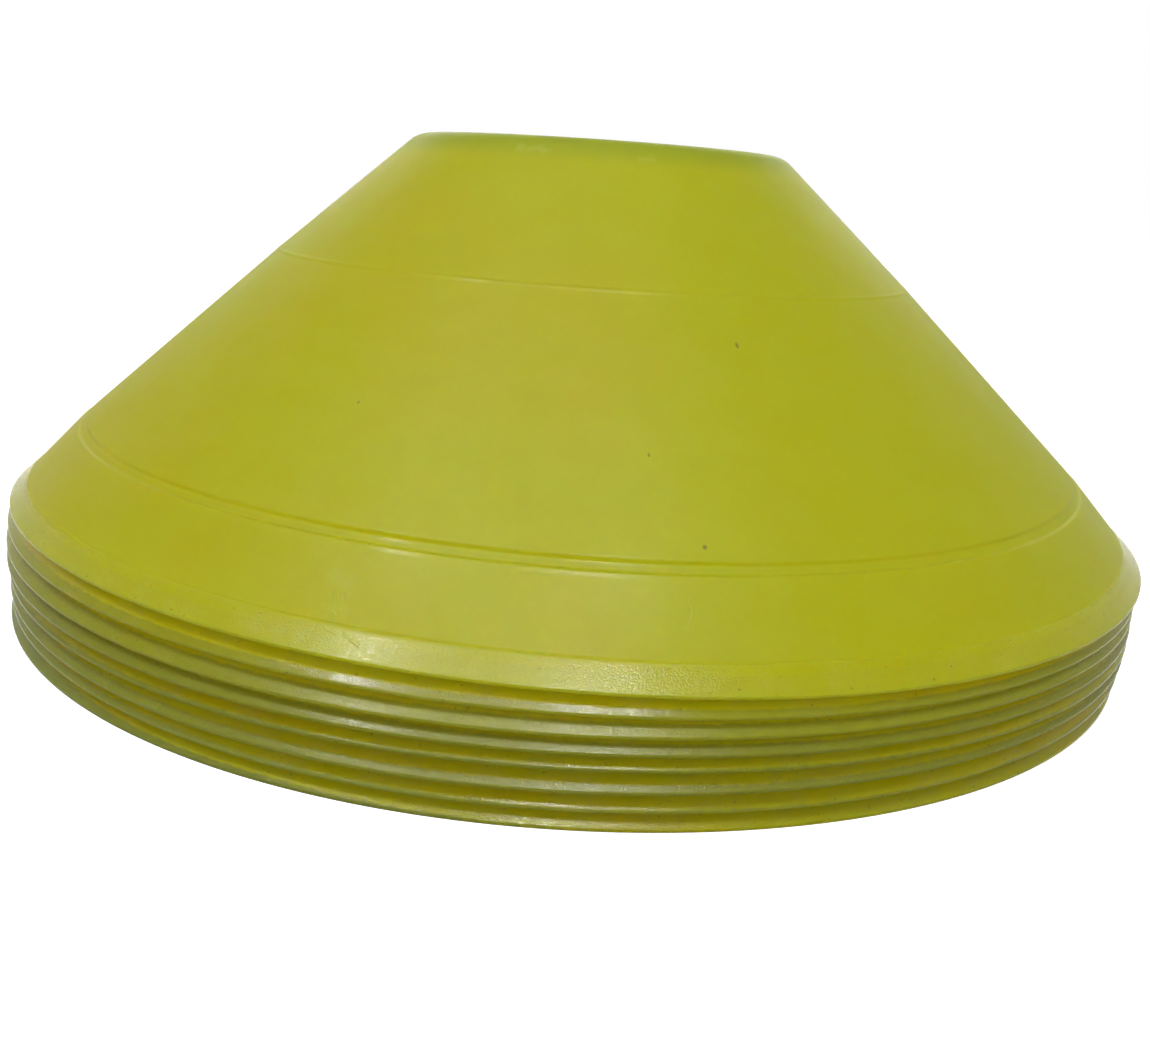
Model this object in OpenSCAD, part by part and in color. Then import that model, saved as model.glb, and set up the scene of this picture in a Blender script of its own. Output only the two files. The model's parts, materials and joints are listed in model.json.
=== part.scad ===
// A stack of eight nested marker discs, the soft saucer cones set out on sports fields.
// Each disc is one moulded shell. All are the same shape and sit ring on ring,
// one pitch apart, so the walls nest without touching and only the lips show.
// Origin: on the ground, in the middle of the stack. +Z is up.

/* [Disc] */
// Diameter across the lip
disc_d = 190; // [180:1:205]
// Height of one disc, from the ground to its flat top
disc_h = 59.4; // [54:0.2:64]
// Diameter of the hole in the top
hole_d = 50; // [44:1:54]
// Width of the flat top ring, from the hole to the round shoulder
top_flat_w = 3.8; // [3:0.1:6]
// Radius of the round shoulder between the flat top and the wall
shoulder_r = 5; // [2:0.5:8]

/* [Wall] */
// Wall thickness, measured straight up and down, so that nested walls run parallel
wall_v = 1.95; // [1.4:0.05:2.4]
// Room between two nested walls, measured straight up and down
nest_gap = 0.5; // [0.4:0.05:1]
// How far the middle of the wall stands out from a straight cone
wall_bulge = 0.7; // [0.2:0.1:1.5]
// Where the upper crease lies, as a share of the way down the wall
crease_share = 0.366; // [0.25:0.01:0.5]
// Radius of the upper crease
crease_r = 12; // [4:1:30]

/* [Groove] */
// Where the middle of the groove lies, as a share of the way down the wall
groove_share = 0.862; // [0.8:0.005:0.92]
// Width of the groove, edge to edge
groove_w = 1.9; // [1.4:0.1:2.6]
// Depth of the groove
groove_depth = 0.35; // [0.2:0.05:0.5]
// Radius of the groove's edges and floor
groove_r = 0.3; // [0.1:0.05:0.4]

/* [Lip] */
// Width of the lip, from the crease under the wall to its outer edge
lip_w = 3; // [2.4:0.1:4]
// Height of the inner edge of the lip's top face, above the ground
lip_h = 3.1; // [2.6:0.1:3.6]
// Thickness of the lip's outer edge
edge_h = 0.6; // [0.5:0.05:0.9]
// Radius of the upper corner of the lip's edge
edge_r = 0.3; // [0.1:0.05:0.4]
// Radius where the wall flares into the lip
flare_r = 1.2; // [0.5:0.1:3]

/* [Hidden] */
NODES = [
    "bottom_disc", "second_disc", "third_disc", "fourth_disc",
    "fifth_disc", "sixth_disc", "seventh_disc", "top_disc"
];

// Facets round a disc, and along each rounded corner of its outline
round_fn = 180;
corner_steps = 5;

// Each disc rests on the ring of the one below, so the ring is one pitch thick
pitch = wall_v + nest_gap;
ring_t = pitch;
rim_r = disc_d / 2;
hole_r = hole_d / 2;

// The thick part of the ring stops short of the shoulder below it
seat_setback = nest_gap;
seat_r = hole_r + top_flat_w - seat_setback;

// Straight line down the wall: from the corner that the shoulder rounds to the flare of the lip
lip_r = rim_r - lip_w;
drop = disc_h - lip_h;
flat_end_r = hole_r + top_flat_w;
// The shoulder takes up shoulder_r * tan(slope / 2) of the flat top, and the slope follows the corner
first_slope = atan2(drop, lip_r - flat_end_r);
corner_r = flat_end_r + shoulder_r * tan(first_slope / 2);
wall_run = lip_r - corner_r;
wall_length = sqrt(wall_run * wall_run + drop * drop);
wall_slope = atan2(drop, wall_run);

// Point of the outer outline: a distance down the wall, and a distance out from the straight line
function on_wall(along, out) = [
    corner_r + along * cos(wall_slope) + out * sin(wall_slope),
    disc_h - along * sin(wall_slope) + out * cos(wall_slope)
];

crease_along = crease_share * wall_length;
groove_along = groove_share * wall_length;
// The groove's sides slope as wide as the groove is deep
groove_side = groove_depth;
groove_half = groove_w / 2;

// Where the lip's underside meets the ground
foot_r = rim_r - (wall_v - edge_h) * lip_w / (lip_h - edge_h);

// Each entry of an outline is a point and the radius that rounds it
above_groove = [
    [[corner_r, disc_h], shoulder_r],
    [on_wall(crease_along, wall_bulge), crease_r]
];
groove = [
    [on_wall(groove_along - groove_half, wall_bulge), groove_r],
    [on_wall(groove_along - groove_half + groove_side, wall_bulge - groove_depth), groove_r],
    [on_wall(groove_along + groove_half - groove_side, wall_bulge - groove_depth), groove_r],
    [on_wall(groove_along + groove_half, wall_bulge), groove_r]
];
// The underside runs on behind the groove with no ridge, so that nested walls stay clear of it
behind_groove = [[on_wall(groove_along, wall_bulge), crease_r]];
flare = [[[lip_r, lip_h], flare_r]];

function lowered(entry) = [entry[0] - [0, wall_v], entry[1]];
function backwards(list) = [for (i = [len(list) - 1 : -1 : 0]) list[i]];

// The whole outline of one disc, clockwise from the top of the hole
disc_outline = concat(
    [[[hole_r, disc_h], 0]],
    above_groove,
    groove,
    flare,
    [
        [[rim_r, edge_h], edge_r],
        [[rim_r, 0], 0],
        [[foot_r, 0], 0]
    ],
    [for (entry = backwards(concat(above_groove, behind_groove, flare))) lowered(entry)],
    [
        [[seat_r, disc_h - wall_v], 0],
        [[seat_r, disc_h - ring_t], 0],
        [[hole_r, disc_h - ring_t], 0]
    ]
);

function unit(v) = v / norm(v);
function angle_of(v) = atan2(v[1], v[0]);
// Shortest turn from one direction to another, in degrees
function turn(from, to) = let (a = to - from) a > 180 ? a - 360 : a < -180 ? a + 360 : a;

// The points of an arc of radius r that rounds the corner at point b, between a and c
function rounded_corner(a, b, c, r) = let (
    to_a = unit(a - b),
    to_c = unit(c - b),
    half = acos(to_a * to_c) / 2,
    middle = b + unit(to_a + to_c) * r / sin(half),
    start = angle_of(b + to_a * r / tan(half) - middle),
    sweep = turn(start, angle_of(b + to_c * r / tan(half) - middle))
) [
    for (i = [0 : corner_steps])
        middle + r * [cos(start + sweep * i / corner_steps), sin(start + sweep * i / corner_steps)]
];

function rounded(entries) = let (count = len(entries)) [
    for (i = [0 : count - 1])
        let (
            a = entries[(i + count - 1) % count][0],
            b = entries[i][0],
            c = entries[(i + 1) % count][0]
        )
        each (entries[i][1] > 0 ? rounded_corner(a, b, c, entries[i][1]) : [b])
];

// The discs get a little paler and greener from the top of the stack to the ground
top_colour = [0.70, 0.70, 0.19];
ground_colour = [0.60, 0.64, 0.27];
top_level = len(NODES) - 1;

module disc(level) {
    color(ground_colour + (top_colour - ground_colour) * level / top_level)
        translate([0, 0, level * pitch])
            rotate_extrude($fn = round_fn)
                polygon(rounded(disc_outline));
}

module bottom_disc() { disc(0); }
module second_disc() { disc(1); }
module third_disc() { disc(2); }
module fourth_disc() { disc(3); }
module fifth_disc() { disc(4); }
module sixth_disc() { disc(5); }
module seventh_disc() { disc(6); }
module top_disc() { disc(7); }

bottom_disc();
second_disc();
third_disc();
fourth_disc();
fifth_disc();
sixth_disc();
seventh_disc();
top_disc();
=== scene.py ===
import json
import math

import bpy
import numpy as np
from mathutils import Matrix, Vector


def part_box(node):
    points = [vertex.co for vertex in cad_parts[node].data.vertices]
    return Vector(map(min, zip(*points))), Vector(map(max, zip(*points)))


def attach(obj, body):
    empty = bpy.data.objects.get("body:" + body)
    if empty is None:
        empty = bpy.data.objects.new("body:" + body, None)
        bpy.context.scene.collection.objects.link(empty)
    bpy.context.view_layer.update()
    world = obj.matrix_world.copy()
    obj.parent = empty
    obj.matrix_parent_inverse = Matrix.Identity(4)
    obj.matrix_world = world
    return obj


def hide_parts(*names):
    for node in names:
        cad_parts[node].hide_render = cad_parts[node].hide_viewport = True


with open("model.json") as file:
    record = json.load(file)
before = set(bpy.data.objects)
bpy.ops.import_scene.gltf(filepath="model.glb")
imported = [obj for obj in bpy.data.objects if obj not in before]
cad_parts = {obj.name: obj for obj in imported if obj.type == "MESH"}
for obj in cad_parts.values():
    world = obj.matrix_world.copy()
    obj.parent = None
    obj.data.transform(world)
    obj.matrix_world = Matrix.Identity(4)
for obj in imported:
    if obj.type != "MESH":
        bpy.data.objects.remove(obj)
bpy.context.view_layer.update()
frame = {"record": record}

# The discs.
# Eight like mouldings of soft polyethylene, dropped over one another ring on ring: thin saucer cones with
# a hole in the top, a round shoulder, a faint crease, a narrow groove and a flared lip with a thin edge.

MM = 0.001

# What the CAD discs give: the size of one disc, and how far apart two of them sit
disc_low, disc_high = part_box("bottom_disc")
rim_r = round((disc_high.x - disc_low.x) / 2, 3)
disc_h = round(disc_high.z - disc_low.z, 4)
pitch = round(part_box("second_disc")[0].z - disc_low.z, 5)
post_hole = next(mount for mount in frame["record"]["mounts"] if mount["name"] == "post_hole")
hole_r = post_hole["dims"]["r_mm"] * MM

# The ring: the end of its flat top, the corner that the shoulder rounds, and the end of its thick part
flat_end_r = hole_r + 3.8 * MM
corner_r = hole_r + 5.75 * MM
seat_r = hole_r + 3.3 * MM

# The wall, its thickness measured straight up and down
wall_v = 1.6 * MM
wall_bulge = 0.7 * MM
crease_share = 0.361
groove_share = 0.862
groove_w = 1.9 * MM
groove_depth = 0.35 * MM

# The lip, its thin edge and foot, and the notch where it begins
lip_w = 3.0 * MM
lip_h = 3.1 * MM
edge_h = 0.42 * MM
foot_w = 0.4 * MM
notch_w = 0.2 * MM
notch_deep = 0.035 * MM

# The fine raised lines that the mould leaves: one at the crease, and a bead below the groove
line_w = 0.5 * MM
line_high = 0.06 * MM
bead_w = 0.7 * MM
bead_high = 0.04 * MM

lip_r = rim_r - lip_w
wall_slope = math.atan2(disc_h - lip_h, lip_r - corner_r)
wall_length = math.hypot(lip_r - corner_r, disc_h - lip_h)
crease_along = crease_share * wall_length
groove_along = groove_share * wall_length


def on_wall(along, out):
    """Point of the outline: a distance down the wall, and a distance out from the straight cone."""
    return np.array([
        corner_r + along * math.cos(wall_slope) + out * math.sin(wall_slope),
        disc_h - along * math.sin(wall_slope) + out * math.cos(wall_slope),
    ])


def rounded_corner(a, b, c, radius, steps=8):
    """The arc that rounds the corner at b, with its two ends."""
    to_a = (a - b) / np.linalg.norm(a - b)
    to_c = (c - b) / np.linalg.norm(c - b)
    half = math.acos(np.clip(to_a @ to_c, -1, 1)) / 2
    middle = b + (to_a + to_c) / np.linalg.norm(to_a + to_c) * radius / math.sin(half)
    start = b + to_a * radius / math.tan(half) - middle
    end = b + to_c * radius / math.tan(half) - middle
    sweep = math.atan2(start[0] * end[1] - start[1] * end[0], start @ end)
    turns = [sweep * i / steps for i in range(steps + 1)]
    return [middle + np.array([start[0] * math.cos(t) - start[1] * math.sin(t),
                               start[0] * math.sin(t) + start[1] * math.cos(t)]) for t in turns]


def disc_outline():
    """The closed outline of one disc as (radius, height) pairs, clockwise from the top of the hole.
    Each corner is a point and the radius that rounds it."""
    half = groove_w / 2
    down = np.array([0, wall_v])
    ring_under = disc_h - pitch
    lip_crease = np.array([lip_r, lip_h])
    hole_round = 0.5 * MM
    shoulder_round = 5 * MM
    line_foot_round = 0.3 * MM
    line_top_round = 0.5 * MM
    groove_edge_round = 0.45 * MM
    groove_floor_round = 0.4 * MM
    bead_round = 1 * MM
    notch_round = 0.1 * MM
    edge_round = 0.2 * MM
    foot_round = 0.15 * MM
    flare_round = 1.2 * MM
    under_round = 9 * MM
    seat_round = 0.15 * MM
    hole_foot_round = 0.3 * MM
    corners = [
        ((hole_r, disc_h), hole_round),
        ((corner_r, disc_h), shoulder_round),
        (on_wall(crease_along - line_w, wall_bulge), line_foot_round),
        (on_wall(crease_along, wall_bulge + line_high), line_top_round),
        (on_wall(crease_along + line_w, wall_bulge), line_foot_round),
        (on_wall(groove_along - half, wall_bulge), groove_edge_round),
        (on_wall(groove_along - half + groove_depth, wall_bulge - groove_depth), groove_floor_round),
        (on_wall(groove_along + half - groove_depth, wall_bulge - groove_depth), groove_floor_round),
        (on_wall(groove_along + half, wall_bulge + bead_high), groove_edge_round),
        (on_wall(groove_along + half + bead_w, wall_bulge), bead_round),
        (lip_crease + np.array([-0.7, 0.7]) * notch_w, notch_round),
        (lip_crease - notch_deep, notch_round),
        (lip_crease + np.array([0.7, -0.6]) * notch_w, notch_round),
        ((rim_r, edge_h), edge_round),
        ((rim_r, 0), foot_round),
        ((rim_r - foot_w, 0), edge_round),
        ((lip_r, lip_h - wall_v), flare_round),
        (on_wall(groove_along, wall_bulge) - down, under_round),
        (on_wall(crease_along, wall_bulge) - down, under_round),
        ((corner_r, disc_h - wall_v), shoulder_round),
        ((seat_r, disc_h - wall_v), seat_round),
        ((seat_r, ring_under), seat_round),
        ((hole_r, ring_under), hole_foot_round),
    ]
    points = [np.array(point, float) for point, _ in corners]
    outline = []
    for i, (_, radius) in enumerate(corners):
        outline += rounded_corner(points[i - 1], points[i], points[(i + 1) % len(points)], radius)
    return outline


def support_points(outline, longest=2.0 * MM, beside=0.12 * MM):
    """Adds points on the long stretches, and one close beside each arc, so that shading stays crisp."""
    filled = []
    for a, b in zip(outline, outline[1:] + outline[:1]):
        run = np.linalg.norm(b - a)
        filled.append(a)
        if run > 4 * beside:
            count = max(1, int(run / longest))
            shares = [beside / run] + [i / count for i in range(1, count)] + [1 - beside / run]
            filled += [a + (b - a) * share for share in shares]
    return filled


mould = support_points(disc_outline())
segments = 288


def press_disc(name, level, sway, lift, tilt, saddle, ripple):
    """One disc as a closed mesh. Its lip sways sideways, lifts in front, tilts to the right, and bends
    into a slight saddle and a slight three-waved ripple, each given as an amount and a direction."""
    outline = np.array(mould)
    angles = np.arange(segments) * 2 * math.pi / segments
    radius = outline[:, 0][None, :]
    height = outline[:, 1][None, :]
    # A soft disc keeps its shape at the ring and gives more and more towards the lip
    share = np.clip((radius - flat_end_r) / (rim_r - flat_end_r), 0, 1)
    turn = angles[:, None]
    # Angle 0 is the side towards the camera, and a quarter turn is its right
    right = np.sin(turn)
    front = np.cos(turn)
    bent = saddle[0] * np.cos(2 * (turn - math.radians(saddle[1])))
    bent = bent + ripple[0] * np.cos(3 * (turn - math.radians(ripple[1])))
    x = radius * right + share ** 5 * sway[0] * MM
    y = -radius * front + share ** 5 * sway[1] * MM
    z = height + level * pitch + share ** 3 * (lift * front + tilt * right + bent) * MM
    count = len(outline)
    places = np.stack([x, y, np.broadcast_to(z, x.shape)], axis=-1).reshape(-1, 3)
    faces = []
    for i in range(segments):
        near = i * count
        far = (i + 1) % segments * count
        for j in range(count):
            k = (j + 1) % count
            faces.append((near + j, near + k, far + k, far + j))
    mesh = bpy.data.meshes.new(name)
    mesh.from_pydata(places.tolist(), [], faces)
    mesh.validate()
    mesh.shade_smooth()
    piece = bpy.data.objects.new(name, mesh)
    bpy.context.scene.collection.objects.link(piece)
    return piece


def add_node(tree, kind, settings=None, **inputs):
    """A node with its settings, and its inputs set to values or linked from sockets. An input goes by
    its name, or by n and its number where several share a name."""
    node = tree.nodes.new(kind)
    for key, value in (settings or {}).items():
        setattr(node, key, value)
    for key, value in inputs.items():
        numbered = key[0] == "n" and key[1:].isdigit()
        socket = node.inputs[int(key[1:]) if numbered else key.replace("_", " ")]
        if isinstance(value, bpy.types.NodeSocket):
            tree.links.new(value, socket)
        else:
            socket.default_value = value
    return node


def soft_plastic(name, lit_edge_shade, lit_edge_w, gap_glow_shade, lip_rough, seed, marks):
    """The plastic: yellow-green right through, slightly see-through, satin on the wall and glossier on
    the lip. lit_edge_shade tints the edge of the lip, lit_edge_w wide, for its wear and as a painted lit
    band where the lamps reach past the lip above; gap_glow_shade tints the rest, and on the lower discs it
    is a painted glow of light through the plastic in the shade under the lip above. lip_rough is the
    roughness of the lip, and seed moves the patches. marks are specks, scratches, painted highlights
    and polished places, in degrees round the disc and mm from its axis."""
    material = bpy.data.materials.new(name)
    material.use_nodes = True
    tree = material.node_tree
    tree.nodes.clear()

    def math_node(operation, a, b=0.0, c=0.0):
        return add_node(tree, "ShaderNodeMath", {"operation": operation}, n0=a, n1=b, n2=c).outputs[0]

    def times(a, b):
        return math_node("MULTIPLY", a, b)

    def vector_node(operation, output=0, **inputs):
        return add_node(tree, "ShaderNodeVectorMath", {"operation": operation}, **inputs).outputs[output]

    def step(value, low, high, to_low=0.0, to_high=1.0):
        node = add_node(tree, "ShaderNodeMapRange", {"interpolation_type": "SMOOTHSTEP"}, Value=value,
                        From_Min=low, From_Max=high, To_Min=to_low, To_Max=to_high)
        return node.outputs["Result"]

    def mixed(factor, a, b):
        return add_node(tree, "ShaderNodeMix", {"data_type": "RGBA"}, n0=factor, n6=a, n7=b).outputs[2]

    def blended(factor, a, b):
        return add_node(tree, "ShaderNodeMix", None, n0=factor, n2=a, n3=b).outputs[0]

    def bump(height, distance, **below):
        return add_node(tree, "ShaderNodeBump", None, Height=height, Strength=1.0, Distance=distance,
                        **below).outputs[0]

    # Where a point is: its radius, and its place on the lower band unrolled flat
    place = add_node(tree, "ShaderNodeTexCoord").outputs["Object"]
    moved = vector_node("ADD", n0=place, n1=(seed, -seed, 0.5 * seed))
    axes = add_node(tree, "ShaderNodeSeparateXYZ", None, Vector=place).outputs
    radius = math_node("SQRT", math_node("ADD", times(axes[0], axes[0]), times(axes[1], axes[1])))
    turn = math_node("ARCTAN2", axes[0], times(axes[1], -1.0))
    unrolled_r = 88 * MM
    unrolled = add_node(tree, "ShaderNodeCombineXYZ", None, X=times(turn, unrolled_r), Y=radius,
                        Z=0.0).outputs[0]

    def noise(scale, detail, roughness=0.5):
        return add_node(tree, "ShaderNodeTexNoise", None, Vector=moved, Scale=scale, Detail=detail,
                        Roughness=roughness).outputs["Fac"]

    # The parts of the disc by radius, each fading over its last few tenths of a mm, and the ring over more
    groove_in_r = 83.3 * MM
    groove_out_r = 84.7 * MM
    groove_fade = 0.3 * MM
    on_lip = step(radius, lip_r - 0.2 * MM, lip_r + 0.3 * MM)
    on_rim = step(radius, rim_r - 0.4 * MM, rim_r - 0.25 * MM)
    on_band = step(radius, groove_out_r - 0.4 * MM, groove_out_r + 0.5 * MM)
    on_ring = step(radius, corner_r + 4.5 * MM, corner_r + 0.7 * MM)
    in_groove = times(step(radius, groove_in_r, groove_in_r + groove_fade),
                      step(radius, groove_out_r, groove_out_r - groove_fade))

    # Colour: patches a hand wide drift between yellow and a warmer tone, under a fine pale mottle
    def tint(red, green, blue, shade):
        return (red * shade[0], green * shade[1], blue * shade[2], 1)

    # gap_glow_shade brightens and warms the lower discs' plastic: a painted glow of light through the
    # plastic, in the shaded gap under each lip
    fresh = tint(0.420, 0.432, 0.003, gap_glow_shade)
    warm = tint(0.450, 0.405, 0.003, gap_glow_shade)
    pale = tint(0.470, 0.500, 0.050, gap_glow_shade)
    deep = tint(0.295, 0.350, 0.010, gap_glow_shade)
    worn_and_lit = tint(0.440, 0.430, 0.010, lit_edge_shade)
    chalk_and_sparkle = (0.520 * lit_edge_shade[0], 0.510 * lit_edge_shade[1], 0.090, 1)
    pit_brown = (0.16, 0.12, 0.01, 1)
    dirt_brown = (0.16, 0.12, 0.02, 1)
    patches = step(noise(scale=22.0, detail=3.0, roughness=0.55), 0.42, 0.68)
    colour = mixed(times(patches, 0.75), fresh, warm)
    mottle = step(noise(scale=160.0, detail=3.0, roughness=0.6), 0.3, 0.7)
    colour = mixed(times(mottle, 0.10), colour, pale)
    # A deeper green in the groove: painted shade in the recess
    colour = mixed(times(in_groove, 0.12), colour, deep)
    colour = mixed(times(on_ring, 0.9), colour, deep)

    # The worn edge of the lip, with a ragged border. It is also a painted lit band, where the lamps reach
    # past the lip above; inside it, on the lower discs, lies the painted glow of the shaded gap
    ragged_w = 0.3 * MM
    lit_from_r = rim_r - lit_edge_w
    ragged = times(math_node("SUBTRACT", noise(scale=900.0, detail=2.0), 0.5), ragged_w)
    on_lit_edge = step(math_node("ADD", radius, ragged), lit_from_r - ragged_w, lit_from_r)
    colour = mixed(on_lit_edge, colour, worn_and_lit)

    # Scuffs: the lip is rubbed pale in clusters of fine grains, which also paint the sparkle of its
    # highlight, with a few dark pits between them
    grains = step(noise(scale=4200.0, detail=1.0), 0.36, 0.62)
    clusters = step(noise(scale=150.0, detail=3.0, roughness=0.6), 0.40, 0.65)
    scuffs_and_sparkle = times(on_lip, times(clusters, grains))
    colour = mixed(times(scuffs_and_sparkle, 0.22), colour, chalk_and_sparkle)
    pits = times(on_lip, step(noise(scale=2300.0, detail=0.0), 0.79, 0.83))
    colour = mixed(times(pits, 0.5), colour, pit_brown)

    # Marks: each is a stroke between two places on the disc, full strength over its core and soft outside.
    # fade is the share of its length over which each end dies away
    def stroke(start, end, width, core, fade):
        first, last = (Vector((math.radians(turned) * unrolled_r, r * MM, 0)) for turned, r in (start, end))
        run = last - first
        away = vector_node("SUBTRACT", n0=unrolled, n1=first)
        along = vector_node("DOT_PRODUCT", "Value", n0=away, n1=run)
        share = add_node(tree, "ShaderNodeMath", {"operation": "DIVIDE", "use_clamp": True}, n0=along,
                         n1=run.length_squared).outputs[0]
        foot = vector_node("SCALE", n0=run, Scale=share)
        apart = vector_node("DISTANCE", "Value", n0=away, n1=foot)
        strength = step(apart, width * MM, core * width * MM)
        if fade:
            ends = times(step(share, 0.0, fade), step(share, 1.0, 1 - fade))
            strength = times(strength, ends)
        return strength

    def strokes(kind, core=0.4, fade=0.0):
        strongest = 0.0
        for start, end, width in marks[kind]:
            strongest = math_node("MAXIMUM", strongest, stroke(start, end, width, core, fade))
        return strongest

    specks = strokes("specks")
    scratches_and_glints = strokes("scratches_and_glints")
    polished = strokes("polished", core=0.2, fade=0.45)
    painted_highlights = strokes("painted_highlights", core=0.0)
    # Painted highlights: pale patches, uneven in strength, where the lamps' glints fall on the shoulder,
    # band and lip
    uneven = step(noise(scale=420.0, detail=2.0), 0.35, 0.65, 0.0, 0.4)
    colour = mixed(times(painted_highlights, uneven), colour, pale)
    colour = mixed(times(specks, 0.75), colour, dirt_brown)
    # The scratches are painted pale, partly as their painted highlight; their relief is real
    colour = mixed(times(scratches_and_glints, 0.6), colour, pale)

    # Roughness: satin on the wall, a little glossier below the groove and where a mould line is worn
    # smooth, and glossier still on the lip, where fine dull grains break up the shine
    wall_rough = step(noise(scale=75.0, detail=4.0, roughness=0.6), 0.3, 0.7, 0.47, 0.54)
    wall_rough = math_node("SUBTRACT", wall_rough, times(on_band, 0.04))
    wall_rough = blended(polished, wall_rough, 0.30)
    grained = math_node("MULTIPLY_ADD", grains, 0.12, lip_rough - 0.05)
    grained = math_node("SUBTRACT", grained, times(clusters, 0.03))
    lip_and_rim = blended(on_rim, grained, 0.2)
    roughness = blended(on_lip, wall_rough, lip_and_rim)

    # Relief: slow waves from cooling, the peel of a moulding, a grain that is coarsest on the lip, and
    # the scratches
    coarse = math_node("ADD", 0.08, math_node("ADD", times(on_band, 0.12), times(on_lip, 0.50)))
    slow = bump(noise(scale=55.0, detail=1.0), 0.08 * MM)
    peel = bump(noise(scale=650.0, detail=2.0), 0.008 * MM, Normal=slow)
    grain = bump(times(coarse, grains), 0.018 * MM, Normal=peel)
    relief = bump(scratches_and_glints, 0.04 * MM, Normal=grain)

    shader = add_node(tree, "ShaderNodeBsdfPrincipled", None, Base_Color=colour, Roughness=roughness,
                      Normal=relief)
    shader.inputs["IOR"].default_value = 1.5
    shader.inputs["Specular IOR Level"].default_value = 0.055
    shader.inputs["Subsurface Weight"].default_value = 0.8
    shader.inputs["Subsurface Radius"].default_value = (1.0, 0.5, 0.1)
    shader.inputs["Subsurface Scale"].default_value = 2.5 * MM
    shader.subsurface_method = "BURLEY"
    add_node(tree, "ShaderNodeOutputMaterial", None, Surface=shader.outputs[0])
    return material


# For each disc: shade of its worn edge, which is also its painted lit band and is darker lower down as
# painted shade; width of that edge in mm; shade of the rest, which is a painted glow of light through
# the plastic in the shaded gap; roughness of the lip
lip_light_and_wear = {
    "bottom_disc": (0.53, 0.85, 0.90, 0.17),
    "second_disc": (0.64, 0.85, 0.90, 0.09),
    "third_disc": (0.58, 0.85, 0.90, 0.24),
    "fourth_disc": (0.57, 0.20, 0.90, 0.14),
    "fifth_disc": (0.56, 0.70, 0.95, 0.27),
    "sixth_disc": (0.66, 1.05, 1.12, 0.25),
    "seventh_disc": (0.70, 0.85, 1.20, 0.085),
    "top_disc": (0.96, 2.0, 1.0, 0.20),
}

# Storage has pushed the lips a little out of true, so the gaps between them differ. For each lip, in mm:
# sideways sway (right, away), lift in front, tilt to the right, then saddle and ripple, each with its
# direction in degrees
warps = {
    "bottom_disc": ((-0.8, 1.0), 0.0, 0.0, (0.0, 0), (0.0, 0)),
    "second_disc": ((-0.4, 0.9), 0.15, 0.1, (0.12, 69), (0.09, -58)),
    "third_disc": ((-0.3, 0.35), 0.2, 0.2, (0.23, 54), (0.13, 51)),
    "fourth_disc": ((-0.2, 0.2), 0.25, 0.1, (0.17, 20), (0.06, 10)),
    "fifth_disc": ((-0.35, -0.2), 0.0, 0.05, (0.05, 27), (0.05, -4)),
    "sixth_disc": ((-0.35, -0.05), -0.25, 0.05, (0.09, 80), (0.03, 0)),
    "seventh_disc": ((-0.15, 0.3), -0.3, -0.2, (0.23, -62), (0.09, -21)),
    "top_disc": ((0.3, 0.35), -0.1, -0.35, (0.42, -50), (0.18, -32)),
}

# The top disc's marks, each from one place to another, as degrees round the disc and mm from its axis,
# with its width in mm: specks of dirt, fine scratches whose pale paint is partly their highlight, pale
# painted highlights on the shoulder, band and lip, and stretches of the mould's lines worn smooth
top_marks = {
    "specks": (
        ((19.2, 59.5), (19.2, 59.6), 0.42), ((10.7, 81.8), (10.8, 81.8), 0.30),
        ((6.6, 72.5), (6.6, 72.6), 0.22), ((-24.0, 70.0), (-24.0, 70.1), 0.20),
    ),
    "scratches_and_glints": (
        ((8.9, 86.4), (9.1, 87.6), 0.14), ((9.1, 87.6), (8.7, 88.9), 0.14),
        ((-17.6, 89.0), (-17.3, 89.7), 0.12), ((-17.3, 89.1), (-17.0, 89.9), 0.14),
        ((-16.9, 89.0), (-16.7, 89.6), 0.12), ((-17.0, 90.1), (-16.6, 90.5), 0.12),
        ((-16.4, 90.3), (-16.5, 90.8), 0.12), ((-17.1, 90.7), (-16.8, 91.0), 0.14),
        ((-17.2, 92.2), (-16.3, 92.5), 0.16), ((-15.7, 92.3), (-15.3, 92.7), 0.14),
        ((-15.1, 92.8), (-14.3, 93.2), 0.16),
    ),
    "painted_highlights": (
        ((-21.5, 33.0), (-13.0, 33.1), 1.3), ((9.5, 33.3), (13.5, 33.3), 1.2),
        ((-17.6, 88.0), (-15.8, 92.0), 2.8), ((-24.0, 93.0), (-14.0, 93.6), 1.4),
    ),
    "polished": (
        ((-20.7, 53.4), (-14.8, 53.4), 0.7), ((-3.0, 53.4), (10.6, 53.4), 0.5),
        ((-17.5, 83.3), (-11.8, 83.3), 0.5), ((-2.7, 83.3), (8.8, 83.3), 0.5),
        ((-17.2, 84.8), (-10.4, 84.8), 0.5), ((-6.6, 84.8), (8.6, 84.8), 0.5),
    ),
}
no_marks = {"specks": (), "scratches_and_glints": (), "painted_highlights": (), "polished": ()}

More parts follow.
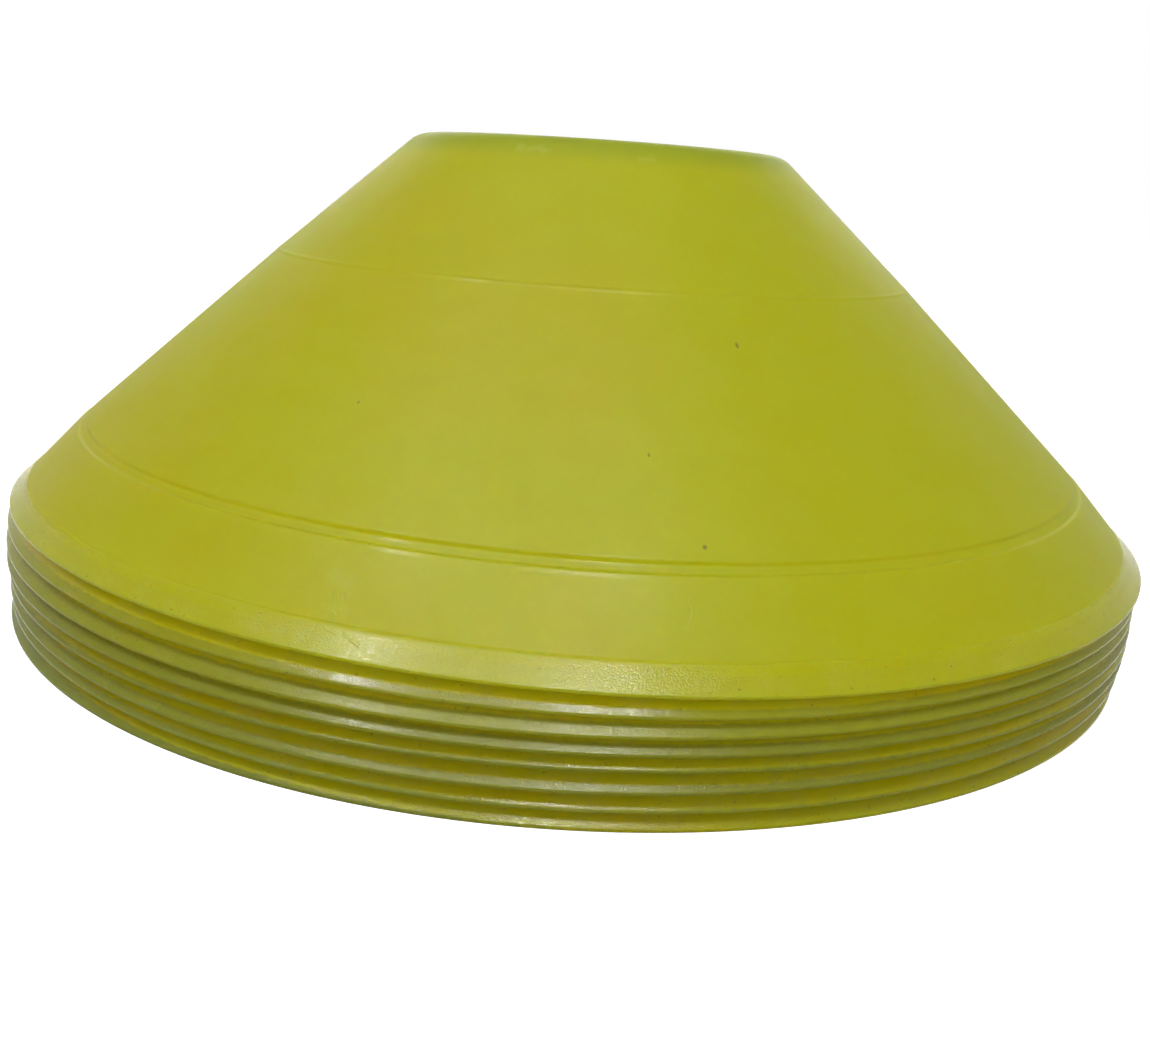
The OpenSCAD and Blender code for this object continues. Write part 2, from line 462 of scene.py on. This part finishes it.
# The lower a disc lies, the greyer its worn edge: a painted sheen over the lit band. All but the top one
# are a little warmer in tone: a painted glow of light through the plastic in the shaded gaps
top_level = len(lip_light_and_wear) - 1
for level, (node, (edge, lit_edge_w, inner, lip_rough)) in enumerate(lip_light_and_wear.items()):
    deep_in_stack = 1 - level / top_level
    if level == top_level:
        edge_red = 0.98
        gap_glow_shade = (inner, inner, 1)
        marks = top_marks
    else:
        edge_red = 1.02 - 0.06 * deep_in_stack
        gap_glow_shade = (inner * 1.04, inner * 0.92, 1)
        marks = no_marks
    lit_edge_shade = (edge * edge_red, edge, edge * (1 + 4 * deep_in_stack))
    seed = 0.137 * level
    plastic = soft_plastic(node + "_plastic", lit_edge_shade, lit_edge_w * MM, gap_glow_shade, lip_rough, seed, marks)
    piece = press_disc(node.replace("_disc", "_marker"), level, *warps[node])
    piece.data.materials.append(plastic)
    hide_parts(node)
    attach(piece, node)

# The floor.
# A plain pale studio floor. The camera sees it white, with the stack's own shadow, and it throws only
# a little light back up under the lips.


def sees_white(tree):
    """1 for the rays that see white surroundings: straight ones, and those through glass or off gloss."""
    rays = tree.nodes.new("ShaderNodeLightPath").outputs
    straight = add_node(tree, "ShaderNodeMath", {"operation": "MAXIMUM"}, n0=rays["Is Camera Ray"],
                        n1=rays["Is Transmission Ray"]).outputs[0]
    return add_node(tree, "ShaderNodeMath", {"operation": "MAXIMUM"}, n0=straight,
                    n1=rays["Is Glossy Ray"]).outputs[0]


floor_half = 6.0
floor_corners = [
    (-floor_half, -floor_half, 0),
    (floor_half, -floor_half, 0),
    (floor_half, floor_half, 0),
    (-floor_half, floor_half, 0),
]
floor_mesh = bpy.data.meshes.new("floor")
floor_mesh.from_pydata(floor_corners, [], [(0, 1, 2, 3)])
floor = bpy.data.objects.new("floor", floor_mesh)
bpy.context.scene.collection.objects.link(floor)
floor_paint = bpy.data.materials.new("floor_paint")
floor_paint.use_nodes = True
tree = floor_paint.node_tree
tree.nodes.clear()
lit = add_node(tree, "ShaderNodeBsdfDiffuse", None, Color=(0.62, 0.62, 0.62, 1))
glow = add_node(tree, "ShaderNodeEmission", None, Color=(1, 1, 1, 1), Strength=0.85)
white_floor = add_node(tree, "ShaderNodeAddShader", None, n0=lit.outputs[0], n1=glow.outputs[0])
plain_floor = add_node(tree, "ShaderNodeBsdfDiffuse", None, Color=(0.25, 0.25, 0.25, 1))
floor_mix = add_node(tree, "ShaderNodeMixShader", None, n0=sees_white(tree), n1=plain_floor.outputs[0],
                     n2=white_floor.outputs[0])
add_node(tree, "ShaderNodeOutputMaterial", None, Surface=floor_mix.outputs[0])
floor_mesh.materials.append(floor_paint)

# The light.
# An even pale room, soft panes of light all round, and three narrow glints high in front, which are
# seen only in reflections: they run down the lips in two columns.

world = bpy.data.worlds.new("room")
world.use_nodes = True
tree = world.node_tree
tree.nodes.clear()
room = add_node(tree, "ShaderNodeBackground", None, Color=(1, 1, 1, 1), Strength=0.28)
backdrop = add_node(tree, "ShaderNodeBackground", None, Color=(1, 1, 1, 1), Strength=1.0)
world_mix = add_node(tree, "ShaderNodeMixShader", None, n0=sees_white(tree), n1=room.outputs[0],
                     n2=backdrop.outputs[0])
add_node(tree, "ShaderNodeOutputWorld", None, Surface=world_mix.outputs[0])
bpy.context.scene.world = world


def pane(name, azimuth, elevation, distance, width, depth, watts):
    """A rectangle of light that faces the stack, its angles in degrees and its sizes in metres. Azimuth 0
    is the camera's side, and 90 its right."""
    around = math.radians(azimuth)
    up = math.radians(elevation)
    towards = Vector((math.sin(around) * math.cos(up), -math.cos(around) * math.cos(up), math.sin(up)))
    place = towards * distance
    data = bpy.data.lights.new(name, "AREA")
    data.shape = "RECTANGLE"
    data.size = width
    data.size_y = depth
    data.energy = watts
    lamp = bpy.data.objects.new(name, data)
    lamp.location = place
    lamp.rotation_euler = place.to_track_quat("Z", "Y").to_euler()
    bpy.context.scene.collection.objects.link(lamp)
    return lamp


pane("key_pane", 3, 64, 1.5, 0.5, 0.3, 4.9)
pane("left_pane", -40, 62, 1.5, 0.25, 0.25, 3.2)
glints = (
    pane("key_glint", 13, 64.5, 1.5, 0.32, 0.2, 29.0),
    pane("low_glint", -6, 59.5, 1.5, 0.2, 0.14, 15.0),
    pane("left_glint", -59, 61, 1.5, 0.12, 0.28, 27.0),
)
for glint in glints:
    glint.visible_diffuse = False
pane("front_fill", 0, 18, 1.8, 2.4, 0.5, 10.4)
pane("left_fill", -75, 15, 1.8, 0.8, 0.5, 3.6)
pane("right_fill", 75, 15, 1.8, 0.8, 0.5, 3.4)
pane("back_fill", 180, 24, 1.8, 2.4, 0.5, 11.0)

# The camera.
# It stands 214 mm in front of the stack's axis, a little below the top of the stack, looks down at the
# lips and leans to one side. The lens gives 1200 pixels of focal length over a picture 1150 wide.

picture_w = 1150
focal_pixels = 1200
camera_place = Vector((0, -0.2144, 0.0695))
camera_pitch = math.radians(15.69)
camera_roll = math.radians(3.91)
looking_level = Matrix.Rotation(math.pi / 2, 4, "X")
camera_data = bpy.data.cameras.new("camera")
camera_data.sensor_width = 36
camera_data.lens = camera_data.sensor_width * focal_pixels / picture_w
camera_data.clip_start = 0.01
camera = bpy.data.objects.new("camera", camera_data)
camera.matrix_world = (
    Matrix.Translation(camera_place)
    @ Matrix.Rotation(-camera_pitch, 4, "X")
    @ looking_level
    @ Matrix.Rotation(camera_roll, 4, "Z")
)
bpy.context.scene.collection.objects.link(camera)
bpy.context.scene.camera = camera
bpy.context.scene.view_settings.view_transform = "Standard"
